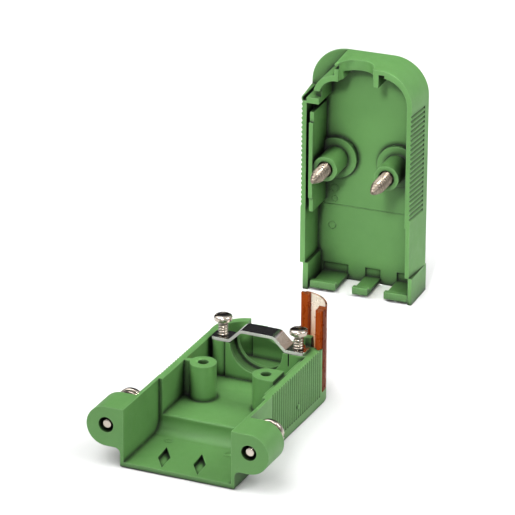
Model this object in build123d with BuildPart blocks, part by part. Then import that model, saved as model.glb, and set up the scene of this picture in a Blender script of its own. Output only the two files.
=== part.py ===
from build123d import *
from math import cos, radians, sin
import os

os.makedirs("parts", exist_ok=True)

# Plug that the hood is made for, in millimetres
positions = 6
pitch = 5.08
plug_clearance = 0.1
flange_pitches = 2

# Both shells
bay_wall = 0.95
hood_length = 67.8
corner_radius = 10.0
end_wall = 2.2
bay_depth = 21.8
touch = 0.01

# Base shell
base_height = 16.6
base_wall = 2.0
bay_floor = 1.6
chamber_floor = 6.5
step_foot_radius = 3.5
step_edge_radius = 0.5
bottom_chamfer = 0.4
slot_long = 12.4
slot_short = 3.3
slot_turn = 19.0
slot_shift = -1.9
slot_y = 7.2
slot_depth = 1.2

# Pockets under the raised floor
pocket_wall = 1.5
pocket_count = 3

# Cover shell
cover_depth = 12.3
cover_wall = 1.5
cover_bay_wall = 1.15
cover_plate = 1.3
cover_round = 0.8
cover_overhang = 1.4
cover_side_flare = 1.0
cover_end_flare = 0.5
plug_shift = 0.95
plug_shift_length = 8.1
cover_x = -4.3
cover_y = 127.1
cover_turn = 3.0

# Flange ears
ear_radius = 5.6
ear_depth = 9.8
ear_foot_radius = 1.6
ear_hole_lift = 0.4
ear_hole_radius = 2.15

# Flange screws
flange_fit = 0.06
flange_tip_set_back = 0.5
flange_shaft_radius = 1.25
flange_shaft = 2.6
flange_wall_gap = 0.1
flange_hub_step = 0.3
flange_neck_step = 0.9
flange_hub = 1.8
flange_neck = 1.0
flange_rim = 1.5
flange_gap = 0.1
flange_left_back = 2.2

# Grip ribs on the outside of both shells
grip_start = 23.8
grip_pitch = 1.4
grip_end_gap = 0.6
grip_depth = 0.42
grip_groove = 1.1
grip_base = 3.0
grip_cover = 9.0

# Bosses of the base, posts and screws of the cover
boss_x = 9.1
boss_y = 36.0
boss_radius = 3.6
boss_bore_radius = 1.5
boss_bore_margin = 0.4
boss_web = 1.4
post_radius = 3.6
post_bore_radius = 2.3
post_seat = 0.9
post_ring_radius = 6.0
cover_screw_radius = 1.95
cover_screw_fit = 0.06
cover_screw_reach = 11.5
cover_screw_point = 4.0
cover_screw_tip_radius = 0.7
cover_head_radius = 3.0
cover_head = 1.9
cover_head_clearance = 0.25
cover_screw_back = 1.5
cross_width = 0.7
cross_length = 3.0
cross_depth = 1.0

# Strain relief: saddle in the base, strap and strap screws
saddle_end_distance = 17.8
saddle_length = 6.0
saddle_radius = 7.7
saddle_rib = 1.2
saddle_groove = 0.8
saddle_post_radius = 3.0
saddle_post_lap = 1.0
saddle_slit_x = 9.2
saddle_slit_width = 0.35
saddle_slit_depth = 0.5
saddle_slit_drop = 3.6
strap_screw_inset = 2.6
strap_width = 5.4
strap_thickness = 0.8
strap_rise = 3.3
strap_crown = 9.2
strap_foot = 16.0
strap_length = 27.2
strap_bend = 1.3
strap_corner = 1.2
strap_hole_clearance = 0.1
strap_screw_radius = 1.4
strap_screw_fit = 0.05
strap_screw_length = 9.5
strap_screw_raised = 4.2
strap_bore_margin = 0.6
strap_head_radius = 2.5
strap_head = 1.8
head_round = 0.9
head_rise = 0.5
driver_slot = 0.8
driver_slot_depth = 0.9
strap_slot_left = 35.0
strap_slot_right = 90.0
point_chamfer = 0.4

# Straight cable outlet through the cable end of both shells
outlet_radius = 5.2
outlet_shift = 0.5
outlet_pad = 0.7
outlet_pad_edge = 7.5
outlet_notch_edge = 9.15
outlet_notch_drop = 1.7
stop_x = 4.9
stop_width = 1.4
stop_length = 3.0
stop_pocket = 1.7
stop_pocket_depth = 0.8

# Corner insert, its recess and the guide beside it
insert_side_shift = -1.0
insert_end_shift = -0.4
insert_seat = 3.8
insert_skin = 0.55
insert_depth = 2.2
insert_side_rib = 3.4
insert_end_rib = 1.6
insert_clearance = 0.15
tongue_length = 0.9
tongue_width = 0.8
recess_depth = 3.4
recess_wall = 1.7
guide_set_back = 0.2
guide_length = 1.9
guide_rise = 2.4

# Ledge in the base and locating strip of the cover
ledge_width = 1.5
ledge_drop = 1.1
ledge_start = 26.5
strip_width = 1.1
strip_rise = 0.8
strip_depth = 5.0
strip_clearance = 0.6
strip_end_gap = 0.4
strip_front = 3.9
strip_back = 2.6

# Hooks at the plug end of the cover: left and right edge of each
hook_spans = ((-13.1, -5.6), (-0.5, 4.1), (9.0, 15.9))
hook_raise = 0.8
hook_plate = 1.0
hook_lip = 2.1
hook_lip_thickness = 1.5
hook_pocket = 0.5
hook_pocket_end = 2.7

# Sizes and places that follow from the ones above
bay_width = positions * pitch + 2 * plug_clearance
half_width = bay_width / 2 + bay_wall
ear_x = (positions + flange_pitches) * pitch / 2
ear_z = base_height - ear_radius
ear_hole_z = ear_z + ear_hole_lift
chamber_half = half_width - base_wall
cavity_depth = cover_depth - cover_plate
insert_x = half_width - corner_radius - insert_end_shift
insert_y = hood_length - corner_radius + insert_side_shift
cover_bay_left = cover_wall - half_width
cover_bay_right = half_width - cover_bay_wall
insert_top = base_height + cavity_depth - insert_clearance
guide_start = insert_y + guide_set_back
saddle_y = hood_length - saddle_end_distance
strap_y = saddle_y + saddle_length / 2
strap_screw_x = strap_length / 2 - strap_screw_inset
saddle_left = saddle_post_radius - saddle_post_lap - strap_screw_x
grip_count = int((insert_y - grip_end_gap - grip_start) / grip_pitch)
flange_rim_radius = ear_x - half_width - flange_wall_gap
flange_collar = ear_depth + flange_gap - flange_tip_set_back - flange_shaft
head_seat = cover_depth - cover_head - cover_head_clearance

# Plane of the cover's rim, local y along the cover, its normal towards the base
cover_rim = Plane(
    origin=(cover_x, cover_y, cover_overhang),
    x_dir=(cos(radians(cover_turn)), sin(radians(cover_turn)), 0),
    z_dir=(sin(radians(cover_turn)), -cos(radians(cover_turn)), 0),
)


def hood_plan(side_inset, end_inset, start):
    """Plan of the hood, set in from its sides and its cable end."""
    length = hood_length - end_inset - start
    with BuildSketch() as plan:
        with Locations((0, start + length / 2)):
            Rectangle(2 * (half_width - side_inset), length)
        fillet(plan.vertices().group_by(Axis.Y)[-1], corner_radius - max(side_inset, end_inset))
    return plan.sketch


def span(x_from, x_to, y_from, y_to, mode=Mode.ADD):
    """Rectangle between two pairs of limits in the open sketch."""
    with Locations(((x_from + x_to) / 2, (y_from + y_to) / 2)):
        Rectangle(abs(x_to - x_from), y_to - y_from, mode=mode)


def corner_box(side, margin, mode=Mode.ADD):
    """Square over one rear corner, from a margin before the insert outwards."""
    span(
        side * (insert_x - margin),
        side * (insert_x - margin + 2 * corner_radius),
        insert_y - margin,
        insert_y - margin + 2 * corner_radius,
        mode,
    )


def tongues(side, margin):
    """The two tongues of the insert in the open sketch, grown by a margin."""
    inner = insert_skin + tongue_width + margin
    outer = insert_skin - margin
    span(
        side * (half_width - outer),
        side * (half_width - inner),
        insert_y - tongue_length - margin,
        insert_y + insert_side_rib / 2,
    )
    span(
        side * (insert_x - tongue_length - margin),
        side * (insert_x + insert_end_rib / 2),
        hood_length - inner,
        hood_length - outer,
    )


def grip_plan(side):
    """Grooves of the grip in one long side, in plan."""
    places = [
        (side * half_width, grip_start + grip_pitch * (index + 1) - grip_pitch / 2)
        for index in range(grip_count)
    ]
    with BuildSketch() as plan:
        with Locations(*places):
            Polygon(
                (-grip_depth, 0), (0, -grip_groove / 2), (grip_depth, 0), (0, grip_groove / 2),
                align=None,
            )
    return plan.sketch


outer_plan = hood_plan(0, 0, 0)
skin_plan = hood_plan(insert_skin, insert_skin, 0)
insert_back_plan = hood_plan(insert_depth, insert_depth, 0)
recess_back_plan = hood_plan(recess_depth, recess_depth, 0)
corner_wall_plan = hood_plan(recess_depth + recess_wall, recess_depth + recess_wall, 0)
base_chamber_plan = hood_plan(base_wall, end_wall, bay_depth)
cover_chamber_plan = hood_plan(cover_wall, end_wall, bay_depth)
cover_front_plan = hood_plan(0, 0, -cover_overhang)
cover_back_plan = hood_plan(-cover_side_flare, -cover_end_flare, -cover_overhang)


def corner_plans(side):
    """Material kept behind the insert, recess cut for it and guide beside it."""
    with BuildSketch() as kept:
        corner_box(side, recess_wall)
        add(corner_wall_plan, mode=Mode.SUBTRACT)
    with BuildSketch() as recess:
        corner_box(side, 0)
        add(recess_back_plan, mode=Mode.SUBTRACT)
        tongues(side, insert_clearance)
    with BuildSketch() as guide:
        span(side * insert_x, side * half_width, guide_start, guide_start + guide_length)
        add(recess_back_plan, mode=Mode.INTERSECT)
        add(corner_wall_plan, mode=Mode.SUBTRACT)
    return kept.sketch, recess.sketch, guide.sketch


base_kept, base_recess, base_guide = corner_plans(1)
cover_kept, cover_recess, cover_guide = corner_plans(-1)

# Base shell: plug bay in front, raised chamber behind it, flange ears at the sides
with BuildPart() as base_shell:
    with BuildSketch():
        add(outer_plan)
    extrude(amount=base_height)
    chamfer(base_shell.faces().sort_by(Axis.Z)[0].edges(), bottom_chamfer)

    # Flange ears, flush with the parting face
    with BuildSketch(Plane.XZ) as ears:
        for side in (-1, 1):
            with Locations((side * ear_x, ear_z)):
                Circle(ear_radius)
            span(side * half_width, side * ear_x, ear_z - ear_radius, base_height)
            span(
                side * (half_width - bay_wall / 2),
                side * half_width,
                ear_z - ear_radius - 2 * ear_foot_radius,
                base_height,
            )
        feet = ears.vertices().filter_by(
            lambda v: abs(abs(v.X) - half_width) < touch and abs(v.Y - ear_z + ear_radius) < touch
        )
        fillet(feet, ear_foot_radius)
    extrude(amount=-ear_depth)

    # Plug bay, with a rounded foot at the step
    with BuildSketch(Plane.YZ) as bay:
        span(-ear_depth, bay_depth, bay_floor, 2 * base_height)
        foot = bay.vertices().filter_by(
            lambda v: abs(v.X - bay_depth) < touch and abs(v.Y - bay_floor) < touch
        )
        fillet(foot, step_foot_radius)
    extrude(amount=bay_width / 2, both=True, mode=Mode.SUBTRACT)

    # Chamber around the bosses, the saddle and the wall behind the insert
    with BuildSketch(Plane.XY.offset(chamber_floor)):
        add(base_chamber_plan)
        span(-chamber_half, chamber_half, bay_depth - touch, bay_depth + touch)
        add(base_kept, mode=Mode.SUBTRACT)
        span(-outlet_pad_edge, insert_x, hood_length - end_wall - outlet_pad, hood_length,
             Mode.SUBTRACT)
        span(saddle_left, half_width, saddle_y, saddle_y + saddle_length,
             Mode.SUBTRACT)
        with Locations((-strap_screw_x, strap_y)):
            Circle(saddle_post_radius, mode=Mode.SUBTRACT)
        span(chamber_half - ledge_width, half_width, ledge_start, saddle_y + touch, Mode.SUBTRACT)
        with Locations((-boss_x, boss_y), (boss_x, boss_y)):
            Circle(boss_radius, mode=Mode.SUBTRACT)
        span(-half_width, -boss_x, boss_y - boss_web / 2, boss_y + boss_web / 2, Mode.SUBTRACT)
        span(boss_x, half_width, boss_y - boss_radius, boss_y + boss_radius, Mode.SUBTRACT)
    extrude(amount=base_height, mode=Mode.SUBTRACT)
    step_edge = base_shell.edges().filter_by(Axis.X).filter_by(
        lambda e: abs(e.center().Y - bay_depth) < 2 * touch
        and abs(e.center().Z - chamber_floor) < touch
    )
    fillet(step_edge, step_edge_radius)

    # Ledge top, set below the parting face beside the boss
    with BuildSketch(Plane.XY.offset(base_height - ledge_drop)):
        span(boss_x + boss_radius - touch, chamber_half, ledge_start - touch, saddle_y)
    extrude(amount=ledge_drop + touch, mode=Mode.SUBTRACT)

    # Saddle with its groove, and the slit in its front beside the strap screw
    with BuildSketch(Plane.XY.offset(base_height)):
        span(saddle_slit_x, saddle_slit_x + saddle_slit_width, saddle_y, saddle_y + saddle_slit_depth)
    extrude(amount=-saddle_slit_drop, mode=Mode.SUBTRACT)
    for start, length, radius in (
        (saddle_y, saddle_length, saddle_radius),
        (saddle_y + saddle_rib, saddle_length - 2 * saddle_rib, saddle_radius + saddle_groove),
    ):
        with BuildSketch(Plane.XZ.offset(-start)):
            with Locations((0, base_height)):
                Circle(radius)
        extrude(amount=-length, mode=Mode.SUBTRACT)

    # Bores for the strap screws and the cover screws
    with BuildSketch(Plane.XY.offset(base_height)):
        with Locations((-strap_screw_x, strap_y), (strap_screw_x, strap_y)):
            Circle(strap_screw_radius + strap_screw_fit)
    extrude(amount=-(strap_screw_length - strap_thickness + strap_bore_margin), mode=Mode.SUBTRACT)
    with BuildSketch(Plane.XY.offset(base_height)):
        with Locations((-boss_x, boss_y), (boss_x, boss_y)):
            Circle(boss_bore_radius)
    extrude(amount=-(cover_screw_reach + boss_bore_margin), mode=Mode.SUBTRACT)

    # Straight outlet, recess of the insert and guide beside it
    with BuildSketch(Plane.XZ.offset(-hood_length)):
        with Locations((outlet_shift, base_height)):
            Circle(outlet_radius)
    extrude(amount=end_wall + recess_depth + recess_wall, mode=Mode.SUBTRACT)
    with BuildSketch(Plane.XY.offset(base_height)):
        span(-outlet_notch_edge, outlet_shift, hood_length - end_wall - outlet_pad - touch, hood_length)
    extrude(amount=-outlet_notch_drop, mode=Mode.SUBTRACT)
    with BuildSketch(Plane.XY.offset(insert_seat)):
        add(base_recess)
    extrude(amount=base_height, mode=Mode.SUBTRACT)
    with BuildSketch(Plane.XY.offset(base_height)):
        add(base_guide)
    extrude(amount=-guide_rise)
    with BuildSketch(Plane.XY.offset(base_height)):
        add(base_guide)
    extrude(amount=guide_rise)

    # Outside: grip grooves and ear holes; inside: diamond recesses in the bay floor
    with BuildSketch(Plane.XY.offset(grip_base)):
        for side in (-1, 1):
            add(grip_plan(side))
    extrude(amount=base_height, mode=Mode.SUBTRACT)
    with BuildSketch(Plane.XY.offset(bay_floor)):
        with Locations((slot_shift - pitch, slot_y), (slot_shift + pitch, slot_y)):
            Polygon(
                (0, -slot_long / 2), (slot_short / 2, 0), (0, slot_long / 2), (-slot_short / 2, 0),
                rotation=slot_turn,
                align=None,
            )
    extrude(amount=-slot_depth, mode=Mode.SUBTRACT)
    with BuildSketch(Plane.XZ):
        with Locations((-ear_x, ear_hole_z), (ear_x, ear_hole_z)):
            Circle(ear_hole_radius)
    extrude(amount=-ear_depth, mode=Mode.SUBTRACT)

    # Pockets under the raised floor
    pocket_start = bay_depth + pocket_wall
    pocket_pitch = (insert_y - recess_wall - pocket_start + pocket_wall) / pocket_count
    with BuildSketch(Plane.XY):
        for index in range(pocket_count):
            start = pocket_start + index * pocket_pitch
            span(-chamber_half, chamber_half, start, start + pocket_pitch - pocket_wall)
        with Locations((-boss_x, boss_y), (boss_x, boss_y)):
            Circle(boss_radius, mode=Mode.SUBTRACT)
    extrude(amount=chamber_floor - pocket_wall, mode=Mode.SUBTRACT)
base_shell.part.label = "base_shell"
export_step(base_shell.part, "parts/base_shell.step")

# Cover shell, standing on its plug end behind the base
with BuildPart() as cover_shell:
    with BuildSketch(cover_rim):
        add(cover_front_plan)
    with BuildSketch(cover_rim.offset(-cover_depth)):
        add(cover_back_plan)
    loft(ruled=True)
    fillet(cover_shell.faces().sort_by(Axis(cover_rim.origin, cover_rim.z_dir))[0].edges(),
           cover_round)
    plug_end = -cover_overhang
    plug_shift_end = plug_end + plug_shift_length
    with BuildSketch(cover_rim):
        span(bay_width / 2, half_width + plug_shift, plug_end, plug_shift_end)
    extrude(amount=-cover_depth)

    # Plug bay of the cover and its chamber around the wall behind the insert
    with BuildSketch(cover_rim):
        span(cover_bay_left, cover_bay_right, plug_shift_end, bay_depth + touch)
        span(cover_bay_left + plug_shift, cover_bay_right + plug_shift, plug_end - touch,
             plug_shift_end)
        for left, right in hook_spans:
            span(left, right, plug_end + hook_raise, plug_end + hook_raise + hook_plate,
                 Mode.SUBTRACT)
        add(cover_chamber_plan)
        add(cover_kept, mode=Mode.SUBTRACT)
        span(-insert_x, stop_x, hood_length - end_wall - outlet_pad, hood_length, Mode.SUBTRACT)
        span(stop_x, stop_x + stop_width, hood_length - end_wall - stop_length, hood_length,
             Mode.SUBTRACT)
        span(stop_x + stop_width, stop_x + stop_width + stop_pocket, hood_length - end_wall - touch,
             hood_length - end_wall + stop_pocket_depth)
        with Locations((-boss_x, boss_y), (boss_x, boss_y)):
            Circle(post_radius, mode=Mode.SUBTRACT)
    extrude(amount=-cavity_depth, mode=Mode.SUBTRACT)
    with BuildSketch(cover_rim):
        span(-half_width - 2 * cover_side_flare, -half_width + plug_shift, plug_end - touch,
             plug_shift_end)
    extrude(amount=-cover_depth, mode=Mode.SUBTRACT)

    # Lips and pockets of the hooks
    with BuildSketch(cover_rim):
        for left, right in hook_spans:
            span(left, right, plug_end + hook_raise, plug_end + hook_raise + hook_lip)
    extrude(amount=-hook_lip_thickness)
    with BuildSketch(cover_rim.offset(-cavity_depth)):
        for left, right in hook_spans:
            start = plug_end + hook_raise + hook_plate
            span(left, right, start, start + hook_pocket_end)
    extrude(amount=-hook_pocket, mode=Mode.SUBTRACT)

    # Rings around the posts
    with BuildSketch(cover_rim.offset(-cavity_depth)):
        with Locations((boss_x, boss_y), (-boss_x, boss_y)):
            Circle(post_ring_radius)
    extrude(amount=cavity_depth + post_seat - head_seat)

    # Bores of the posts: wide in front, guide at the seat, space for the head behind
    for depth, radius, length in (
        (0, post_bore_radius, head_seat - post_seat),
        (0, cover_screw_radius + cover_screw_fit, cover_depth),
        (head_seat, cover_head_radius + cover_head_clearance, cover_depth),
    ):
        with BuildSketch(cover_rim.offset(-depth)):
            with Locations((-boss_x, boss_y), (boss_x, boss_y)):
                Circle(radius)
        extrude(amount=-length, mode=Mode.SUBTRACT)

    # Strip that drops inside the base wall above its ledge, behind it a groove to the rim
    strip_x = chamber_half - strip_clearance
    strip_from = ledge_start - strip_front
    strip_to = saddle_y + strip_back
    with BuildSketch(cover_rim.offset(-cavity_depth)):
        span(-strip_x + strip_width, -half_width + cover_wall / 2, strip_from, strip_to)
    extrude(amount=cavity_depth - strip_depth)
    with BuildSketch(cover_rim.offset(-strip_depth)):
        span(-strip_x + strip_width, -strip_x, strip_from, strip_to)
    extrude(amount=strip_depth)
    with BuildSketch(cover_rim):
        span(-strip_x + strip_width, -strip_x, ledge_start + strip_end_gap, saddle_y - strip_end_gap)
    extrude(amount=strip_rise)

    # Straight outlet, recess of the insert and room for the guide
    outlet_plane = Plane(
        origin=cover_rim.from_local_coords((0, hood_length + cover_end_flare, 0)),
        x_dir=cover_rim.x_dir,
        z_dir=cover_rim.y_dir,
    )
    with BuildSketch(outlet_plane):
        with Locations((-outlet_shift, 0)):
            Circle(outlet_radius)
    extrude(amount=-(cover_end_flare + end_wall + recess_depth + recess_wall), mode=Mode.SUBTRACT)
    with BuildSketch(cover_rim):
        add(cover_recess)
    extrude(amount=-cavity_depth, mode=Mode.SUBTRACT)
    with BuildSketch(cover_rim):
        add(offset(cover_guide, insert_clearance))
    extrude(amount=-(guide_rise + insert_clearance), mode=Mode.SUBTRACT)

    # Grip grooves along the flaring sides
    for side in (-1, 1):
        with BuildSketch(cover_rim):
            add(grip_plan(side))
        along = side * cover_side_flare * cover_rim.x_dir - cover_depth * cover_rim.z_dir
        extrude(amount=grip_cover, dir=along.normalized(), mode=Mode.SUBTRACT)
cover_shell.part.label = "cover_shell"
export_step(cover_shell.part, "parts/cover_shell.step")

# Corner insert, from its recess in the base up to the plate of the cover
with BuildSketch() as insert_hollow:
    span(insert_x + insert_end_rib, half_width, insert_y + insert_side_rib, hood_length)
    add(skin_plan, mode=Mode.INTERSECT)
with BuildPart() as corner_insert:
    with BuildSketch(Plane.XY.offset(insert_seat)):
        corner_box(1, -insert_clearance)
        add(outer_plan, mode=Mode.INTERSECT)
        add(insert_back_plan, mode=Mode.SUBTRACT)
        tongues(1, 0)
        add(insert_hollow.sketch, mode=Mode.SUBTRACT)
    extrude(amount=insert_top - insert_seat)
corner_insert.part.label = "corner_insert"
export_step(corner_insert.part, "parts/corner_insert.step")

# Strap of the strain relief, bent from one strip
with BuildPart() as strain_relief_strap:
    with BuildSketch(Plane.XZ.offset(-(strap_y - strap_width / 2))):
        with BuildLine():
            FilletPolyline(
                (-strap_length / 2, base_height),
                (-strap_foot / 2, base_height),
                (-strap_crown / 2, base_height + strap_rise),
                (strap_crown / 2, base_height + strap_rise),
                (strap_foot / 2, base_height),
                (strap_length / 2, base_height),
                radius=strap_bend,
            )
            offset(amount=strap_thickness, side=Side.LEFT)
        make_face()
    extrude(amount=-strap_width)
    fillet(strain_relief_strap.edges().filter_by(Axis.Z), strap_corner)
    with BuildSketch(Plane.XY.offset(base_height)):
        with Locations((-strap_screw_x, strap_y), (strap_screw_x, strap_y)):
            Circle(strap_screw_radius + strap_hole_clearance)
    extrude(amount=strap_thickness, mode=Mode.SUBTRACT)
strain_relief_strap.part.label = "strain_relief_strap"
export_step(strain_relief_strap.part, "parts/strain_relief_strap.step")

# Strap screws, backed out with their heads above the strap
head_z = base_height + strap_thickness + strap_screw_raised
for name, side, turn in (("strap_screw_left", -1, strap_slot_left),
                         ("strap_screw_right", 1, strap_slot_right)):
    with BuildPart() as strap_screw:
        with BuildSketch(Plane.XY.offset(head_z)):
            with Locations((side * strap_screw_x, strap_y)):
                Circle(strap_head_radius)
        extrude(amount=strap_head)
        chamfer(strap_screw.faces().sort_by(Axis.Z)[-1].edges(), head_rise, head_round)
        with BuildSketch(Plane.XY.offset(head_z)):
            with Locations((side * strap_screw_x, strap_y)):
                Circle(strap_screw_radius)
        extrude(amount=-strap_screw_length)
        chamfer(strap_screw.faces().sort_by(Axis.Z)[0].edges(), point_chamfer)
        with BuildSketch(Plane.XY.offset(head_z + strap_head)):
            with Locations((side * strap_screw_x, strap_y)):
                Rectangle(3 * strap_head_radius, driver_slot, rotation=turn)
        extrude(amount=-driver_slot_depth, mode=Mode.SUBTRACT)
    strap_screw.part.label = name
    export_step(strap_screw.part, "parts/" + name + ".step")

# Flange screws, the head of the left one further back: shaft, collar in the ear, hub, neck, rim
for name, side, back in (("flange_screw_left", -1, flange_left_back),
                         ("flange_screw_right", 1, 0)):
    start = flange_tip_set_back
    with BuildPart() as flange_screw:
        for radius, length in (
            (flange_shaft_radius, flange_shaft + back),
            (ear_hole_radius - flange_fit, flange_collar),
            (flange_rim_radius - flange_hub_step, flange_hub),
            (flange_rim_radius - flange_neck_step, flange_neck),
            (flange_rim_radius, flange_rim),
        ):
            with BuildSketch(Plane.XZ.offset(-start)):
                with Locations((side * ear_x, ear_hole_z)):
                    Circle(radius)
            extrude(amount=-length)
            start += length
        chamfer(flange_screw.faces().sort_by(Axis.Y)[0].edges(), point_chamfer)
        with BuildSketch(Plane.XZ.offset(-start)):
            with Locations((side * ear_x, ear_hole_z)):
                Rectangle(3 * flange_rim_radius, driver_slot)
        extrude(amount=driver_slot_depth, mode=Mode.SUBTRACT)
    flange_screw.part.label = name
    export_step(flange_screw.part, "parts/" + name + ".step")

# Cover screws through the posts, the left one partly backed out
for name, side, back in (("cover_screw_left", -1, cover_screw_back),
                         ("cover_screw_right", 1, 0)):
    with BuildPart() as cover_screw:
        seat = cover_rim.offset(-head_seat - back)
        with BuildSketch(seat):
            with Locations((side * boss_x, boss_y)):
                Circle(cover_head_radius)
        extrude(amount=-cover_head)
        with BuildSketch(seat):
            with Locations((side * boss_x, boss_y)):
                Circle(cover_screw_radius)
        extrude(amount=head_seat + cover_screw_reach - cover_screw_point)
        point = seat.offset(head_seat + cover_screw_reach - cover_screw_point)
        for plane, radius in (
            (point, cover_screw_radius),
            (point.offset(cover_screw_point), cover_screw_tip_radius),
        ):
            with BuildSketch(plane):
                with Locations((side * boss_x, boss_y)):
                    Circle(radius)
        loft()
        with BuildSketch(seat.offset(-cover_head)):
            with Locations((side * boss_x, boss_y)):
                Rectangle(cross_length, cross_width)
                Rectangle(cross_width, cross_length)
        extrude(amount=cross_depth, mode=Mode.SUBTRACT)
    cover_screw.part.label = name
    export_step(cover_screw.part, "parts/" + name + ".step")
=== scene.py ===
from math import cos, pi, radians, sin

import bmesh
import bpy
from mathutils import Matrix, Vector


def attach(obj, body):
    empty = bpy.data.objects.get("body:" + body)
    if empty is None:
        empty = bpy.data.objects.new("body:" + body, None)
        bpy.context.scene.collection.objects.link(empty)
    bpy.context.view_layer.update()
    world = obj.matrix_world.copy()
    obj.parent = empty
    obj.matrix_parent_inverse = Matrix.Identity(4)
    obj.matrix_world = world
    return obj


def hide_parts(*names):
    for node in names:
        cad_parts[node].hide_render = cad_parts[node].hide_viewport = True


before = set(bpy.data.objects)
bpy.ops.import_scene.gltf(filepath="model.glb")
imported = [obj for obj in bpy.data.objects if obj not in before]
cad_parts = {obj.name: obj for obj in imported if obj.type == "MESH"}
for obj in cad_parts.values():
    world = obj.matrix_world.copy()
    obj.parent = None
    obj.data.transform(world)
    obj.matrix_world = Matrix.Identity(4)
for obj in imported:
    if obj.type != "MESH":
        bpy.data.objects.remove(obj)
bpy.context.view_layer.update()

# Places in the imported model, in millimetres
MM = 0.001
STRAP_SCREW_X, STRAP_SCREW_Y, STRAP_HEAD_Z = 11.0, 53.0, 21.6
EAR_X, EAR_Z = 20.32, 11.4
INSERT_X, INSERT_Y = 6.69, 56.8
BAY_FLOOR_Z = 1.6
BASE_SIDE_X = 16.25

# Plane of the cover's rim: a point on it, and its directions
COVER_X, COVER_Y = -4.3, 127.1
COVER_TURN = radians(3.0)
ALONG = Vector((cos(COVER_TURN), sin(COVER_TURN), 0))
TOWARD_BASE = Vector((sin(COVER_TURN), -cos(COVER_TURN), 0))
POST_X, POST_Z = 9.1, 37.4
HEAD_SEAT_DEPTH = 10.15
PLATE_DEPTH = 11.0

# Colours, linear
WHITE = (1.0, 1.0, 1.0)
GREEN_DARK, GREEN_LIGHT = (0.080, 0.205, 0.054), (0.096, 0.238, 0.064)
# Paler green of the highlight painted on the shells' edges
GREEN_EDGE_HIGHLIGHT = (0.17, 0.35, 0.13)
RIB_DARK, RIB_LIGHT = (0.27, 0.045, 0.006), (0.31, 0.054, 0.008)
# Skin colours: painted shade low down, painted light high up where light comes through
SKIN_LOW, SKIN_HIGH = (0.40, 0.18, 0.08), (0.90, 0.80, 0.68)
INSERT_TOP = (0.17, 0.045, 0.015)
# Painted shade on the insert's outer face
INSERT_OUTER_SHADE = (0.40, 0.34, 0.30)
STEEL_DARK, STEEL_LIGHT = (0.60, 0.58, 0.56), (0.74, 0.72, 0.70)
NICKEL_DARK, NICKEL_LIGHT = (0.44, 0.39, 0.33), (0.58, 0.52, 0.45)
THREAD_DARK, THREAD_LIGHT = (0.20, 0.165, 0.125), (0.31, 0.26, 0.21)
# Darkest colour of the shade painted in threads and slots
GROOVE_PAINTED_SHADE = (0.06, 0.05, 0.04)


def grey(value):
    return (value,) * 3


# Materials
class Nodes:
    """Node tree of a material. A value in it is a pair of a node and an output, or a constant."""

    def __init__(self, name):
        self.mat = bpy.data.materials.new(name)
        self.mat.use_nodes = True
        self.tree = self.mat.node_tree
        self.tree.nodes.clear()
        self.shader = self.add("BsdfPrincipled")
        self.feed(self.add("OutputMaterial"), "Surface", (self.shader, "BSDF"))
        self.place = (self.add("TexCoord"), "Object")

    def add(self, kind, **values):
        node = self.tree.nodes.new("ShaderNode" + kind)
        for key, value in values.items():
            if key in node.inputs:
                node.inputs[key].default_value = value
            else:
                setattr(node, key, value)
        return node

    def feed(self, node, socket, value):
        """Links a pair to a socket, or sets a constant on it."""
        if isinstance(value, tuple) and isinstance(value[0], bpy.types.Node):
            source, output = value
            self.tree.links.new(source.outputs[output], node.inputs[socket])
        else:
            node.inputs[socket].default_value = value

    def finish(self, **values):
        """Feeds the shader; a socket's name has underscores for its spaces."""
        for key, value in values.items():
            self.feed(self.shader, key.replace("_", " "), value)
        return self.mat

    def noise(self, scale, detail, rough, place=None):
        node = self.add("TexNoise", Scale=scale, Detail=detail, Roughness=rough)
        self.feed(node, "Vector", place or self.place)
        return node, "Fac"

    def ramp(self, value, *stops):
        node = self.add("ValToRGB")
        for element, (place, colour) in zip(node.color_ramp.elements, stops):
            element.position = place
            element.color = (*colour, 1)
        for place, colour in stops[2:]:
            node.color_ramp.elements.new(place).color = (*colour, 1)
        self.feed(node, "Fac", value)
        return node, "Color"

    def step(self, value, low, high):
        """0 at the low value, 1 at the high one, with a ramp between them."""
        node = self.add("MapRange")
        self.feed(node, "From Min", low)
        self.feed(node, "From Max", high)
        self.feed(node, "Value", value)
        return node, "Result"

    def math(self, operation, *values):
        node = self.add("Math", operation=operation)
        for socket, value in enumerate(values):
            self.feed(node, socket, value)
        return node, "Value"

    def mix(self, factor, one, other, blend="MIX"):
        node = self.add("Mix", data_type="RGBA", blend_type=blend)
        for socket, value in ((0, factor), (6, one), (7, other)):
            self.feed(node, socket, value)
        return node, 2

    def multiply(self, one, other):
        return self.mix(1.0, one, other, "MULTIPLY")

    def parts(self, vector):
        """Node that splits a vector into X, Y and Z."""
        node = self.add("SeparateXYZ")
        self.feed(node, "Vector", vector)
        return node

    def normal(self):
        return self.add("NewGeometry"), "Normal"

    def openness(self, distance, samples=6):
        return self.add("AmbientOcclusion", samples=samples, Distance=distance), "AO"

    def rounded(self, radius):
        """Normal as if the edges were rounded."""
        return self.add("Bevel", samples=4, Radius=radius), "Normal"

    def edge_mask(self, rounded):
        """1 on the edges that the rounded normal softens, 0 on the faces."""
        dot = self.add("VectorMath", operation="DOT_PRODUCT")
        self.feed(dot, 0, rounded)
        self.feed(dot, 1, self.normal())
        return self.step((dot, "Value"), 0.995, 0.80)

    def bump(self, height, strength, distance, normal):
        node = self.add("Bump", Strength=strength, Distance=distance)
        self.feed(node, "Height", height)
        self.feed(node, "Normal", normal)
        return node, "Normal"

    def roughness(self, value, low, high):
        return self.ramp(value, (0.3, grey(low)), (0.75, grey(high)))


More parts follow.
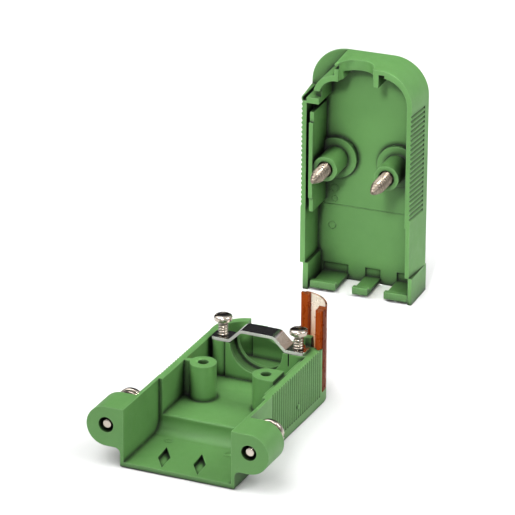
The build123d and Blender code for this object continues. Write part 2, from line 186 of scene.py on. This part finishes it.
def shell_plastic(name, *shadow):
    """Satin green with a painted highlight on its edges and painted shade in hollows and narrow
    grooves; shadow gives how bright the painted shade leaves it in hollows, by how open they are.
    """
    n = Nodes(name)
    tone = n.ramp(n.noise(55, 4, 0.55), (0.3, GREEN_DARK), (0.7, GREEN_LIGHT))
    rounded = n.rounded(0.45 * MM)
    # Painted highlight: the edges are mixed toward a paler green
    painted_edge_highlight = n.math("MULTIPLY", n.edge_mask(rounded), 0.85)
    colour = n.mix(painted_edge_highlight, tone, (*GREEN_EDGE_HIGHLIGHT, 1))
    # Painted shade: darker in hollows and narrow grooves, by how enclosed the surface is
    hollow = n.ramp(n.openness(9 * MM), *[(place, grey(value)) for place, value in shadow])
    groove = n.ramp(n.openness(1.4 * MM), (0.60, grey(0.08)), (0.96, WHITE))
    return n.finish(
        Base_Color=n.multiply(n.multiply(colour, hollow), groove),
        Specular_IOR_Level=0.38,
        Roughness=n.roughness(n.noise(240, 3, 0.6), 0.46, 0.58),
        Normal=n.bump(n.noise(2600, 2, 0.6), 0.10, 0.05 * MM, rounded),
    )


def insert_plastic():
    """Clear orange: pale where the skin is thin, deep red-brown in the two ribs; painted shade
    darkens the skin low down and on its outer face.
    """
    n = Nodes("insert_orange")
    place = n.parts(n.place)
    past_end_rib = n.step((place, "X"), (INSERT_X + 1.65) * MM, (INSERT_X + 1.80) * MM)
    past_side_rib = n.step((place, "Y"), (INSERT_Y + 3.45) * MM, (INSERT_Y + 3.60) * MM)
    skin = n.math("MULTIPLY", past_end_rib, past_side_rib)
    rib = n.ramp(n.noise(160, 3, 0.5), (0.3, RIB_DARK), (0.7, RIB_LIGHT))
    # The thin skin is pale; its ramp by height adds painted shade low down and painted light high
    # up
    skin_with_painted_light = n.ramp((place, "Z"), (0.014, SKIN_LOW), (0.0265, SKIN_HIGH))
    facing_up = n.step((n.parts(n.normal()), "Z"), 0.5, 0.9)
    colour = n.mix(facing_up, n.mix(skin, rib, skin_with_painted_light), (*INSERT_TOP, 1))
    # Painted shade: the outer face past X 16 mm is darkened
    painted_outer_shade = n.ramp(n.step((place, "X"), 16.00 * MM, 16.15 * MM),
                     (0.0, WHITE), (1.0, INSERT_OUTER_SHADE))
    return n.finish(
        Base_Color=n.multiply(colour, painted_outer_shade),
        Specular_IOR_Level=0.12,
        IOR=1.12,
        Transmission_Weight=n.ramp(skin, (0.0, grey(0.12)), (1.0, grey(0.93))),
        Roughness=n.roughness(n.noise(300, 3, 0.6), 0.24, 0.34),
        Normal=n.bump(n.noise(700, 1, 0.4), 0.02, 0.02 * MM, n.rounded(0.2 * MM)),
    )


def metal(name, tones, rough, rounding, stretch=(1, 1, 1), groove=0.0, cut_edge=False):
    """Plated metal; stretch draws its grain out, groove paints shade into its threads and slots.
    """
    n = Nodes(name)
    mapping = n.add("Mapping", Scale=stretch)
    n.feed(mapping, "Vector", n.place)
    grain = n.noise(900, 4, 0.6, (mapping, "Vector"))
    dark, light = tones
    colour = n.ramp(n.noise(160, 3, 0.6), (0.3, dark), (0.7, light))
    if groove:
        # Painted shade: darker where threads and slots enclose the surface
        painted_groove_shade = n.ramp(n.openness(groove, 8), (0.30, GROOVE_PAINTED_SHADE), (0.85, WHITE))
        colour = n.multiply(colour, painted_groove_shade)
    metallic = 1.0
    if cut_edge:
        # The strap's two long edges were sheared and look duller than its faces
        across = n.math("ABSOLUTE", (n.parts(n.normal()), "Y"))
        metallic = n.ramp(across, (0.5, WHITE), (0.9, grey(0.45)))
    return n.finish(
        Base_Color=colour,
        Metallic=metallic,
        Roughness=n.roughness(grain, *rough),
        Normal=n.bump(grain, 0.06, 0.03 * MM, n.rounded(rounding)),
    )


# Two copies of one green: the cover's paints deeper shade in its hollows than the base's
green = shell_plastic("shell_green", (0.14, 0.02), (0.35, 0.42), (0.58, 1.0))
cover_green = shell_plastic("shell_green_cover", (0.16, 0.01), (0.50, 0.36), (0.78, 1.0))
orange = insert_plastic()
steel = metal("strap_bright_steel", (STEEL_DARK, STEEL_LIGHT), (0.14, 0.26), 0.12 * MM,
              stretch=(1, 8, 8), cut_edge=True)
nickel = metal("screw_nickel_plate", (NICKEL_DARK, NICKEL_LIGHT), (0.14, 0.26), 0.03 * MM,
               groove=1.2 * MM)
threaded = metal("screw_nickel_thread", (THREAD_DARK, THREAD_LIGHT), (0.24, 0.36), 0.03 * MM,
                 groove=1.2 * MM)

for node, material in (("base_shell", green), ("cover_shell", cover_green),
                       ("corner_insert", orange), ("strain_relief_strap", steel)):
    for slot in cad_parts[node].material_slots:
        slot.material = material


# Places and meshes
def axis_frame(origin, axis, across):
    """Matrix whose local z runs along the axis and local x lies across it; origin in mm."""
    z = Vector(axis).normalized()
    x = Vector(across)
    x = (x - x.dot(z) * z).normalized()
    turn = Matrix((x, z.cross(x), z)).transposed().to_4x4()
    return Matrix.Translation(Vector(origin) * MM) @ turn


def cover_point(x, painted_groove_shade, z):
    """Point of the cover in mm: across, behind its rim, and up from the floor."""
    return Vector((COVER_X, COVER_Y, z)) + x * ALONG - painted_groove_shade * TOWARD_BASE


def add_object(name, data):
    obj = bpy.data.objects.new(name, data)
    bpy.context.collection.objects.link(obj)
    return obj


def add_mesh(name, bm, material=None):
    """New object from a bmesh, which it frees."""
    mesh = bpy.data.meshes.new(name)
    bm.to_mesh(mesh)
    bm.free()
    if material:
        mesh.materials.append(material)
    return add_object(name, mesh)


def join_rings(bm, rings):
    """Faces between each ring of vertices and the next."""
    for low, high in zip(rings, rings[1:]):
        for k in range(len(low)):
            m = (k + 1) % len(low)
            bm.faces.new((low[k], low[m], high[m], high[k]))


def round_rings(bm, rows, segments):
    """Rings about z, for rows of a height and a radius, or a function of the angle, in mm."""
    rings = []
    for height, radius in rows:
        ring = []
        for k in range(segments):
            angle = 2 * pi * k / segments
            r = radius(angle) if callable(radius) else radius
            ring.append(bm.verts.new((r * cos(angle) * MM, r * sin(angle) * MM, height * MM)))
        rings.append(ring)
    return rings


def turned(name, place, rows, material, segments):
    """Solid turned piece, smooth round its axis."""
    bm = bmesh.new()
    rings = round_rings(bm, rows, segments)
    join_rings(bm, rings)
    bm.faces.new(list(reversed(rings[0])))
    bm.faces.new(rings[-1])
    bmesh.ops.recalc_face_normals(bm, faces=bm.faces)
    bm.transform(place)
    for face in bm.faces:
        face.smooth = len(face.verts) == 4
    return add_mesh(name, bm, material)


def thread(start, end, pitch, crest, root, flat, taper=0.0, tip=None):
    """Rows of a thread between two heights; it runs out to the tip radius over the taper."""
    rows = []
    steps_per_turn = 8
    count = int(round((end - start) / pitch * steps_per_turn))
    for k in range(count + 1):
        h = start + (end - start) * k / count
        left = (end - h) / taper if taper else 1.0
        scale = 1.0 if left >= 1 else left ** 0.75
        top = crest if tip is None else tip + (crest - tip) * scale
        low = root if tip is None else tip * 0.75 + (root - tip * 0.75) * scale

        def radius(angle, h=h, top=top, low=low):
            wave = abs(((h - start) / pitch - angle / (2 * pi)) % 1.0 - 0.5) * 2
            return low + (top - low) * min(1.0, max(0.0, (wave - flat) / (1 - flat) * 1.25))

        rows.append((h, radius))
    return rows


def arc_rows(h, r, radius, start, end, count=4):
    """Rows of a rounded edge about the centre (h, r), between two angles from the axis."""
    return [(h + radius * cos(a), r + radius * sin(a))
            for a in (start + (end - start) * k / count for k in range(count + 1))]


def near_edge(h, r, radius, count=4):
    return arc_rows(h, r, radius, pi, pi / 2, count)


def far_edge(h, r, radius):
    return arc_rows(h, r, radius, pi / 2, 0)


def cut(obj, place, height, size):
    """Cuts a box of a size in mm out of a piece, centred at a height on its axis."""
    bm = bmesh.new()
    bmesh.ops.create_cube(bm, size=1.0)
    scaled = Matrix.Diagonal((*(side * MM for side in size), 1))
    bm.transform(place @ Matrix.Translation((0, 0, height * MM)) @ scaled)
    cutter = add_mesh("cutter", bm)
    boolean = obj.modifiers.new("slot", "BOOLEAN")
    boolean.operation = "DIFFERENCE"
    boolean.solver = "EXACT"
    boolean.object = cutter
    bpy.context.view_layer.update()
    graph = bpy.context.evaluated_depsgraph_get()
    done = bpy.data.meshes.new_from_object(obj.evaluated_get(graph))
    obj.modifiers.clear()
    obj.data = done
    bpy.data.objects.remove(cutter)


def finish_screw(obj, node):
    obj.data.name = obj.name
    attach(obj, node)
    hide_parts(node)


# Strap screws: blunt end, thread, neck, low dome with a driver slot
for node, side, turn in (("strap_screw_left", -1, 34), ("strap_screw_right", 1, 20)):
    across = (cos(radians(turn)), sin(radians(turn)), 0)
    place = axis_frame((side * STRAP_SCREW_X, STRAP_SCREW_Y, STRAP_HEAD_Z), (0, 0, 1), across)
    head_radius, dome_start, dome_rise = 2.5, 0.95, 0.85
    rows = [(-9.5, 0.75), (-9.35, 1.0)]
    rows += thread(-9.2, -0.7, 0.8, 1.4, 0.95, 0.2)
    rows += [(-0.5, 1.15), (-0.02, 1.2), (0.0, 1.3), (0.0, 2.25)]
    rows += near_edge(0.2, 2.3, 0.2)
    rows += [(dome_start, head_radius)]
    rows += [(dome_start + dome_rise * sin(a), head_radius * cos(a) ** 0.8)
             for a in (0.25, 0.5, 0.75, 1.0, 1.25)]
    rows += [(1.79, 0.25)]
    screw = turned(node + "_piece", place, rows, nickel, 48)
    cut(screw, place, 1.75, (6.0, 0.75, 1.7))
    finish_screw(screw, node)

# Flange screws: tip, thread, collar in the ear, hub, neck and rim with a driver slot
for node, side, back in (("flange_screw_left", -1, 2.2), ("flange_screw_right", 1, 0.0)):
    place = axis_frame((side * EAR_X, 0, EAR_Z), (0, 1, 0), (1, 0, 0))
    thread_end, collar, hub = 2.9 + back, 3.1 + back, 9.9 + back
    neck, rim, end = hub + 1.8, hub + 2.8, hub + 4.3
    rows = [(0.5, 0.8), (0.55, 0.95)] + near_edge(0.8, 1.0, 0.25, 3)[1:]
    rows += thread(1.0, thread_end, 0.5, 1.25, 1.02, 0.35)
    rows += [(collar, 1.1), (collar, 1.9)] + near_edge(collar + 0.2, 1.89, 0.2, 3)[1:]
    rows += [(hub - 0.02, 2.09), (hub, 2.2), (hub, 3.3)]
    rows += near_edge(hub + 0.3, 3.32, 0.3) + far_edge(hub + 1.5, 3.32, 0.3)
    rows += [(neck, 3.05), (rim, 3.05), (rim, 3.4)]
    rows += near_edge(rim + 0.4, 3.52, 0.4) + far_edge(end - 0.45, 3.47, 0.45)
    rows += [(end, 0.3)]
    screw = turned(node + "_piece", place, rows, nickel, 64)
    cut(screw, place, end, (9.0, 0.8, 1.8))
    finish_screw(screw, node)

# Cover screws: head with a cross recess, coarse thread that runs out to a blunt point
for node, side, back in (("cover_screw_left", -1, 1.5), ("cover_screw_right", 1, 0.0)):
    seat = cover_point(side * POST_X, HEAD_SEAT_DEPTH + back, POST_Z)
    place = axis_frame(seat, TOWARD_BASE, ALONG)
    head_end, point = -1.9, HEAD_SEAT_DEPTH + 11.5
    rows = [(head_end, 2.4)] + near_edge(head_end + 0.3, 2.7, 0.3, 3)[1:]
    rows += [(-0.1, 3.0), (0.0, 2.9), (0.0, 1.7), (0.6, 1.62), (5.6, 1.62)]
    rows += thread(5.8, point - 0.15, 1.25, 1.95, 1.2, 0.15, taper=4.4, tip=0.62)
    rows += [(point - 0.02, 0.4)]
    screw = turned(node + "_piece", place, rows, threaded, 56)
    for size in ((3.0, 0.7, 2.0), (0.7, 3.0, 2.0)):
        cut(screw, place, head_end, size)
    finish_screw(screw, node)


# Marks that moulding leaves on the shells
def finish_mark(obj, body):
    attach(obj, body)


def ring_mark(name, body, centre, normal, radius):
    """Faint ring that an ejector pin leaves on a moulded face."""
    rise = 0.05
    rows = [(0.0, radius - 0.02), (rise, radius - 0.10),
            (rise, radius - 0.20), (0.0, radius - 0.28)]
    bm = bmesh.new()
    rings = round_rings(bm, rows, 40)
    join_rings(bm, rings + rings[:1])
    bmesh.ops.recalc_face_normals(bm, faces=bm.faces)
    bm.transform(axis_frame(centre, normal, (1, 0.3, 0.2)))
    finish_mark(add_mesh(name, bm, green), body)


for tag, x, y in (("right", 7.4, 15.6), ("left", -10.1, 16.6)):
    ring_mark("base_pin_mark_" + tag, "base", (x, y, BAY_FLOOR_Z), (0, 0, 1), 1.1)
for tag, x, z, radius in (("upper", -10.0, 27.4, 1.3), ("lower", -10.0, 24.2, 1.0),
                          ("low", -10.6, 16.0, 1.2)):
    centre = cover_point(x, PLATE_DEPTH, z)
    ring_mark("cover_pin_mark_" + tag, "cover", centre, TOWARD_BASE, radius)

# Low step across the cover's plate, as a ridge
SEAM_Z, SEAM_RISE, SEAM_WIDTH = 22.5, 0.07, 0.22
section = [(0, -SEAM_WIDTH / 2), (SEAM_RISE, -SEAM_WIDTH / 3),
           (SEAM_RISE, SEAM_WIDTH / 6), (0, SEAM_WIDTH / 2)]
bm = bmesh.new()
left_end, right_end = [
    [bm.verts.new(cover_point(x, PLATE_DEPTH - rise, SEAM_Z + height) * MM)
     for rise, height in section] for x in (-14.2, 14.4)]
join_rings(bm, [left_end, right_end])
bm.faces.new(left_end)
bm.faces.new(list(reversed(right_end)))
bmesh.ops.recalc_face_normals(bm, faces=bm.faces)
finish_mark(add_mesh("cover_plate_seam", bm, green), "cover")

# Rounded gate nub on the right side of the base
NUB_RISE = 0.34
rows = [(0.0, 0.80)] + [(NUB_RISE * sin(a), 0.78 * cos(a)) for a in (0.3, 0.6, 0.9, 1.2)]
rows += [(NUB_RISE, 0.12)]
place = axis_frame((BASE_SIDE_X, 41.0, 6.4), (1, 0, 0), (0, 1, 0))
finish_mark(turned("base_gate_nub", place, rows, green, 32), "base")

# Floor
stage_mat = Nodes("stage_white").finish(Base_Color=(*grey(0.76), 1), Roughness=0.9)
mesh = bpy.data.meshes.new("floor")
mesh.from_pydata([(-3, -3, 0), (3, -3, 0), (3, 6, 0), (-3, 6, 0)], [], [(0, 1, 2, 3)])
mesh.materials.append(stage_mat)
floor = add_object("floor", mesh)

# Sky: brighter overhead, with a dark patch behind the object for the strap to reflect
DARK_PATCH = (-0.38, 0.815, 0.438)
world = bpy.data.worlds.new("studio")
bpy.context.scene.world = world
world.use_nodes = True
sky = world.node_tree
background = sky.nodes["Background"]
background.inputs["Strength"].default_value = 0.95
direction = sky.nodes.new("ShaderNodeTexCoord").outputs["Generated"]


def sky_ramp(value, *stops):
    node = sky.nodes.new("ShaderNodeValToRGB")
    for element, (place, colour) in zip(node.color_ramp.elements, stops):
        element.position = place
        element.color = (*colour, 1)
    sky.links.new(value, node.inputs["Fac"])
    return node.outputs["Color"]


toward = sky.nodes.new("ShaderNodeVectorMath")
toward.operation = "DOT_PRODUCT"
toward.inputs[1].default_value = DARK_PATCH
sky.links.new(direction, toward.inputs[0])
height = sky.nodes.new("ShaderNodeSeparateXYZ")
sky.links.new(direction, height.inputs["Vector"])
both = sky.nodes.new("ShaderNodeMix")
both.data_type, both.blend_type = "RGBA", "MULTIPLY"
both.inputs[0].default_value = 1.0
patch = sky_ramp(toward.outputs["Value"], (0.72, WHITE), (0.90, (0.04, 0.04, 0.045)))
dome = sky_ramp(height.outputs["Z"], (0.05, (0.30, 0.30, 0.31)), (0.75, WHITE))
sky.links.new(patch, both.inputs[6])
sky.links.new(dome, both.inputs[7])
sky.links.new(both.outputs[2], background.inputs["Color"])


# Lights
def area(name, place, target, size, power):
    light = bpy.data.lights.new(name, "AREA")
    light.shape = "RECTANGLE"
    light.size = light.size_y = size
    light.energy = power
    obj = add_object(name, light)
    obj.location = place
    toward_target = Vector(target) - Vector(place)
    obj.rotation_euler = toward_target.to_track_quat("-Z", "Y").to_euler()
    return light


MIDDLE = (0.0, 0.06, 0.02)
COVER_MIDDLE = (-0.004, 0.127, 0.035)
area("key", (-0.42, -0.12, 0.82), MIDDLE, 0.9, 7.4)
area("side", (0.75, 0.15, 0.80), MIDDLE, 0.5, 6.0)
# Narrow beam on the cover; its small spread concentrates it, so little power is enough
area("front", (0.12, -0.55, 0.50), COVER_MIDDLE, 0.12, 0.066).spread = radians(16)

# Camera: direction, distance, focal length and the origin's pixel, fitted to the photograph
SIDE = 515
TURN, TILT, FAR, FOCAL = radians(25.0), radians(26.0), 1.2, 4631.0
ORIGIN_PX = (176.75, 478.75)
SENSOR = 36.0
right = Vector((cos(TURN), sin(TURN), 0))
ahead = Vector((-sin(TURN) * cos(TILT), cos(TURN) * cos(TILT), -sin(TILT)))
up = right.cross(ahead)
aim = FOCAL * ahead + (SIDE / 2 - ORIGIN_PX[0]) * right + (ORIGIN_PX[1] - SIDE / 2) * up
aim.normalize()
cam_x = (right - right.dot(aim) * aim).normalized()
cam_y = cam_x.cross(aim)
camera = add_object("camera", bpy.data.cameras.new("camera"))
facing = Matrix((cam_x, cam_y, -aim)).transposed().to_4x4()
camera.matrix_world = Matrix.Translation(-FAR * ahead) @ facing
camera.data.sensor_width = SENSOR
camera.data.lens = SENSOR * FOCAL / SIDE
camera.data.clip_end = 20
scene = bpy.context.scene
scene.camera = camera
scene.view_settings.view_transform = "Standard"
scene.view_settings.look = "None"
scene.view_settings.exposure = 0.0
